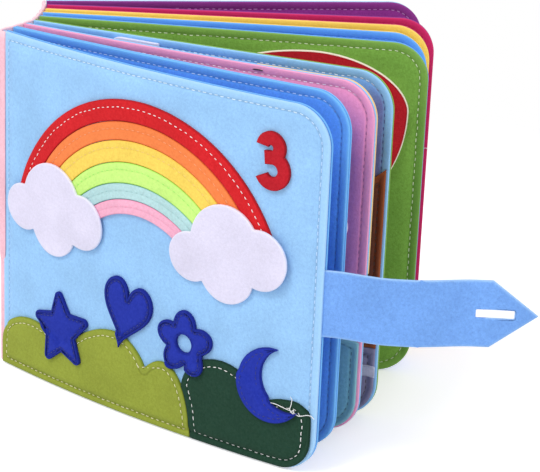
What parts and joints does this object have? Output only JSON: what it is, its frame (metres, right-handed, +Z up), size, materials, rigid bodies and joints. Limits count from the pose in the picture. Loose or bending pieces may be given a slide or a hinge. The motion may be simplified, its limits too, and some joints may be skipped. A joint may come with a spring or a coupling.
{
  "type": "felt quiet book",
  "caption": "Soft felt quiet book standing open like a fan, with a rainbow picture on its cover, sewn leaves, a felt spine and a strap that buttons at the back.",
  "frame": {"origin": "the middle of the book's footprint, at the height of the sheets' lower edges", "axes": "+Z up along the sheets' seams, +X from the spine towards the fore-edges and the strap, +Y from the front cover towards the back cover"},
  "size_m": [0.297, 0.2682, 0.2],
  "materials": {
    "felt_sky": "matte felt",
    "core_white": "stiff interlining",
    "felt_inner_blue": "matte felt",
    "felt_spine_pink": "matte felt",
    "felt_rainbow_red": "matte felt",
    "felt_rainbow_orange": "matte felt",
    "felt_rainbow_yellow": "matte felt",
    "felt_rainbow_lime": "matte felt",
    "felt_rainbow_mint": "matte felt",
    "felt_rainbow_pink": "matte felt",
    "felt_olive": "matte felt",
    "felt_dark_green": "matte felt",
    "felt_cloud": "matte felt",
    "felt_shape_blue": "matte felt",
    "felt_red": "matte felt",
    "felt_strap": "matte felt",
    "felt_pink": "matte felt",
    "felt_pale_blue": "matte felt",
    "felt_teal": "matte felt",
    "felt_corner_yellow": "matte felt",
    "felt_brown": "matte felt",
    "felt_road_grey": "matte felt",
    "ribbon_silver": "satin ribbon",
    "felt_green": "matte felt",
    "felt_cream": "matte felt",
    "felt_bright_blue": "matte felt",
    "felt_yellow": "matte felt",
    "felt_crimson": "matte felt",
    "felt_purple": "matte felt",
    "button_blue": "glossy"
  },
  "bodies": {
    "back_cover": {"back_cover_lining": "felt_purple", "back_cover_core": "core_white", "back_cover_panel": "felt_sky", "button": "button_blue", "spine_segment_8": "felt_spine_pink"},
    "leaf_7": {"leaf_7_front": "felt_crimson", "leaf_7_back": "felt_purple", "spine_segment_7": "felt_spine_pink"},
    "leaf_6": {"leaf_6_front": "felt_yellow", "leaf_6_back": "felt_crimson", "spine_segment_6": "felt_spine_pink"},
    "leaf_5": {"leaf_5_front": "felt_bright_blue", "leaf_5_back": "felt_yellow", "spine_segment_5": "felt_spine_pink"},
    "leaf_4": {"leaf_4_front": "felt_green", "leaf_4_back": "felt_bright_blue", "leaf_4_backing": "felt_cream", "leaf_4_red_shape": "felt_red", "spine_segment_4": "felt_spine_pink"},
    "leaf_3": {"leaf_3_front": "felt_pale_blue", "leaf_3_back": "felt_green", "leaf_3_tag": "felt_cloud", "leaf_3_brown_panel": "felt_brown", "leaf_3_road": "felt_road_grey", "leaf_3_stripe": "ribbon_silver", "spine_segment_3": "felt_spine_pink"},
    "leaf_2": {"leaf_2_front": "felt_pink", "leaf_2_back": "felt_pale_blue", "leaf_2_teal_panel": "felt_teal", "leaf_2_round_piece": "felt_cloud", "leaf_2_corner_piece": "felt_corner_yellow", "spine_segment_2": "felt_spine_pink"},
    "leaf_1": {"leaf_1_front": "felt_inner_blue", "leaf_1_back": "felt_inner_blue", "spine_segment_1": "felt_spine_pink"},
    "front_cover": {"front_cover_panel": "felt_sky", "front_cover_core": "core_white", "front_cover_lining": "felt_inner_blue", "spine_margin": "felt_spine_pink", "strap_root": "felt_strap", "rainbow_red": "felt_rainbow_red", "rainbow_orange": "felt_rainbow_orange", "rainbow_yellow": "felt_rainbow_yellow", "rainbow_lime": "felt_rainbow_lime", "rainbow_mint": "felt_rainbow_mint", "rainbow_pink": "felt_rainbow_pink", "hill_olive": "felt_olive", "hill_dark": "felt_dark_green", "cloud_left": "felt_cloud", "cloud_right": "felt_cloud", "shape_star": "felt_shape_blue", "shape_heart": "felt_shape_blue", "shape_flower": "felt_shape_blue", "shape_moon": "felt_shape_blue", "numeral": "felt_red"},
    "strap": {"strap_base": "felt_strap"},
    "strap_end": {"strap_tip": "felt_strap"}
  },
  "joints": [
    {"name": "leaf_7_turn", "type": "hinge", "parent": "back_cover", "child": "leaf_7", "pos_m": [-0.13016, 0.07987, 0], "axis": [0, 0, 1], "range_deg": [-31.1, 9.94]},
    {"name": "leaf_6_turn", "type": "hinge", "parent": "leaf_7", "child": "leaf_6", "pos_m": [-0.12999, 0.06987, 0], "axis": [0, 0, 1], "range_deg": [-37.6, 3.66]},
    {"name": "leaf_5_turn", "type": "hinge", "parent": "leaf_6", "child": "leaf_5", "pos_m": [-0.13023, 0.05988, 0], "axis": [0, 0, 1], "range_deg": [-37.5, 3.76]},
    {"name": "leaf_4_turn", "type": "hinge", "parent": "leaf_5", "child": "leaf_4", "pos_m": [-0.13091, 0.0499, 0], "axis": [0, 0, 1], "range_deg": [-35.9, 5.36]},
    {"name": "leaf_3_turn", "type": "hinge", "parent": "leaf_4", "child": "leaf_3", "pos_m": [-0.13231, 0.04, 0], "axis": [0, 0, 1], "range_deg": [-23.9, 16.32]},
    {"name": "leaf_2_turn", "type": "hinge", "parent": "leaf_3", "child": "leaf_2", "pos_m": [-0.13639, 0.03087, 0], "axis": [0, 0, 1], "range_deg": [-36.2, 4.02]},
    {"name": "leaf_1_turn", "type": "hinge", "parent": "leaf_2", "child": "leaf_1", "pos_m": [-0.14107, 0.02203, 0], "axis": [0, 0, 1], "range_deg": [-35.5, 5.24]},
    {"name": "front_cover_turn", "type": "hinge", "parent": "leaf_1", "child": "front_cover", "pos_m": [-0.14643, 0.01359, 0], "axis": [0, 0, 1], "range_deg": [-35, 6.04]},
    {"name": "strap_fold", "type": "hinge", "parent": "front_cover", "child": "strap", "pos_m": [0.0396, -0.1277, 0.0972], "axis": [0, 0, 1], "range_deg": [-34.8, 51.36]},
    {"name": "strap_wrap", "type": "hinge", "parent": "strap", "child": "strap_end", "pos_m": [0.09349, -0.13015, 0.0972], "axis": [0, 0, 1], "range_deg": [-30, 86.76]}
  ]
}
